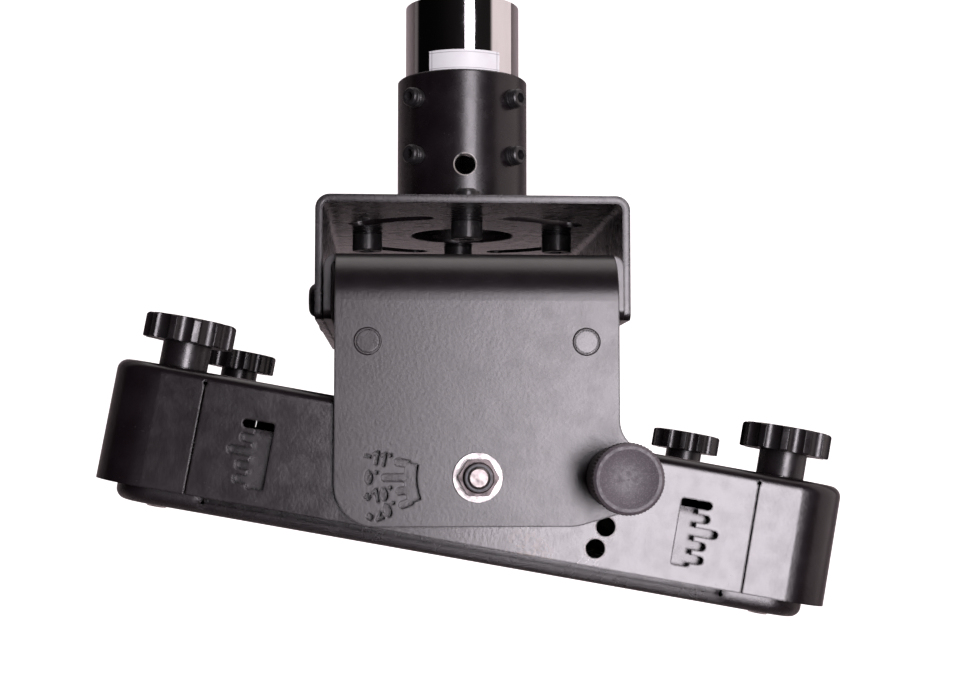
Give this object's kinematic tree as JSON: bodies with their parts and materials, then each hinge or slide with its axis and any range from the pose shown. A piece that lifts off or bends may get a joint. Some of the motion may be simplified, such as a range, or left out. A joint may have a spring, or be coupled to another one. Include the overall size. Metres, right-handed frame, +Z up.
{
  "type": "alt azimuth mount",
  "caption": "Hanging two-axis mount head: pole clamp collar, folded yoke and tilt bracket with index plunger, and a box arm with a height adjusted tray.",
  "frame": {"origin": "centre of the drop tube's top end, on its axis", "axes": "+Z up along the drop tube, the azimuth axis; -Y to the front, where the plunger is; +X to the right seen from the front"},
  "size_m": [0.2769, 0.2863, 0.2569],
  "materials": {
    "black_coat": "satin black powder coat with a fine orange peel",
    "chrome_tube": "polished chrome plate",
    "black_steel": "black oxide, oiled",
    "zinc_steel": "bright zinc plate",
    "knob_plastic": "moulded black nylon, fine texture",
    "black_nylon": "plain",
    "label_paper": "satin white label stock, blank"
  },
  "bodies": {
    "pole": {"drop_tube": "chrome_tube", "tube_label": "label_paper"},
    "head": {"collar": "black_coat", "collar_flange": "black_coat", "collar_set_screws": "black_steel", "yoke": "black_coat", "yoke_bolts": "black_steel", "yoke_nuts": "black_steel"},
    "bracket": {"tilt_bracket": "black_coat", "clinch_studs": "black_coat", "side_bolts": "black_steel", "side_washers": "black_steel", "side_nuts": "black_steel", "pivot_bolts": "zinc_steel", "pivot_spacers": "black_nylon", "pivot_washers": "zinc_steel", "pivot_nuts": "zinc_steel", "plunger_sleeve": "black_steel", "plunger_spring": "zinc_steel"},
    "plunger": {"plunger_pin": "zinc_steel", "plunger_knob": "knob_plastic"},
    "arm": {"arm_shell": "black_coat"},
    "tray": {"inner_tray": "black_coat", "lift_bushes": "zinc_steel"},
    "height_knob_front_left": {"knob_front_left": "knob_plastic", "knob_screw_front_left": "zinc_steel", "knob_ring_front_left": "zinc_steel"},
    "height_knob_front_right": {"knob_front_right": "knob_plastic", "knob_screw_front_right": "zinc_steel", "knob_ring_front_right": "zinc_steel"},
    "height_knob_rear_left": {"knob_rear_left": "knob_plastic", "knob_screw_rear_left": "zinc_steel", "knob_ring_rear_left": "zinc_steel"},
    "height_knob_rear_right": {"knob_rear_right": "knob_plastic", "knob_screw_rear_right": "zinc_steel", "knob_ring_rear_right": "zinc_steel"}
  },
  "joints": [
    {"name": "azimuth_turn", "type": "hinge", "parent": "pole", "child": "head", "pos_m": [0, 0, -0.06], "axis": [0, 0, 1], "continuous": true},
    {"name": "side_tilt", "type": "hinge", "parent": "head", "child": "bracket", "pos_m": [0, -0.045, -0.134], "axis": [1, 0, 0], "range_deg": [-3, 3]},
    {"name": "altitude_tilt", "type": "hinge", "parent": "bracket", "child": "arm", "pos_m": [0, 0, -0.2047], "axis": [0, -1, 0], "range_deg": [0, 31]},
    {"name": "plunger_slide", "type": "slide", "parent": "bracket", "child": "plunger", "axis": [0, 1, 0], "range_m": [0, 0.0045], "deforming": ["plunger_spring"]},
    {"name": "tray_lift", "type": "slide", "parent": "arm", "child": "tray", "axis": [0.1771, 0, 0.9842], "range_m": [-0.0205, 0]},
    {"name": "knob_turn_front_left", "type": "hinge", "parent": "arm", "child": "height_knob_front_left", "pos_m": [-0.10816, -0.1, -0.16492], "axis": [0.1771, 0, 0.9842], "range_deg": [0, 5904]},
    {"name": "knob_turn_front_right", "type": "hinge", "parent": "arm", "child": "height_knob_front_right", "pos_m": [0.11525, -0.1, -0.20511], "axis": [0.1771, 0, 0.9842], "range_deg": [0, 5904]},
    {"name": "knob_turn_rear_left", "type": "hinge", "parent": "arm", "child": "height_knob_rear_left", "pos_m": [-0.10816, 0.1, -0.16492], "axis": [0.1771, 0, 0.9842], "range_deg": [0, 5904]},
    {"name": "knob_turn_rear_right", "type": "hinge", "parent": "arm", "child": "height_knob_rear_right", "pos_m": [0.11525, 0.1, -0.20511], "axis": [0.1771, 0, 0.9842], "range_deg": [0, 5904]}
  ],
  "couplings": [
    {"joint": "knob_turn_front_left", "follows": "tray_lift", "rad_per_m": -5026.5},
    {"joint": "knob_turn_front_right", "follows": "tray_lift", "rad_per_m": -5026.5},
    {"joint": "knob_turn_rear_left", "follows": "tray_lift", "rad_per_m": -5026.5},
    {"joint": "knob_turn_rear_right", "follows": "tray_lift", "rad_per_m": -5026.5}
  ]
}
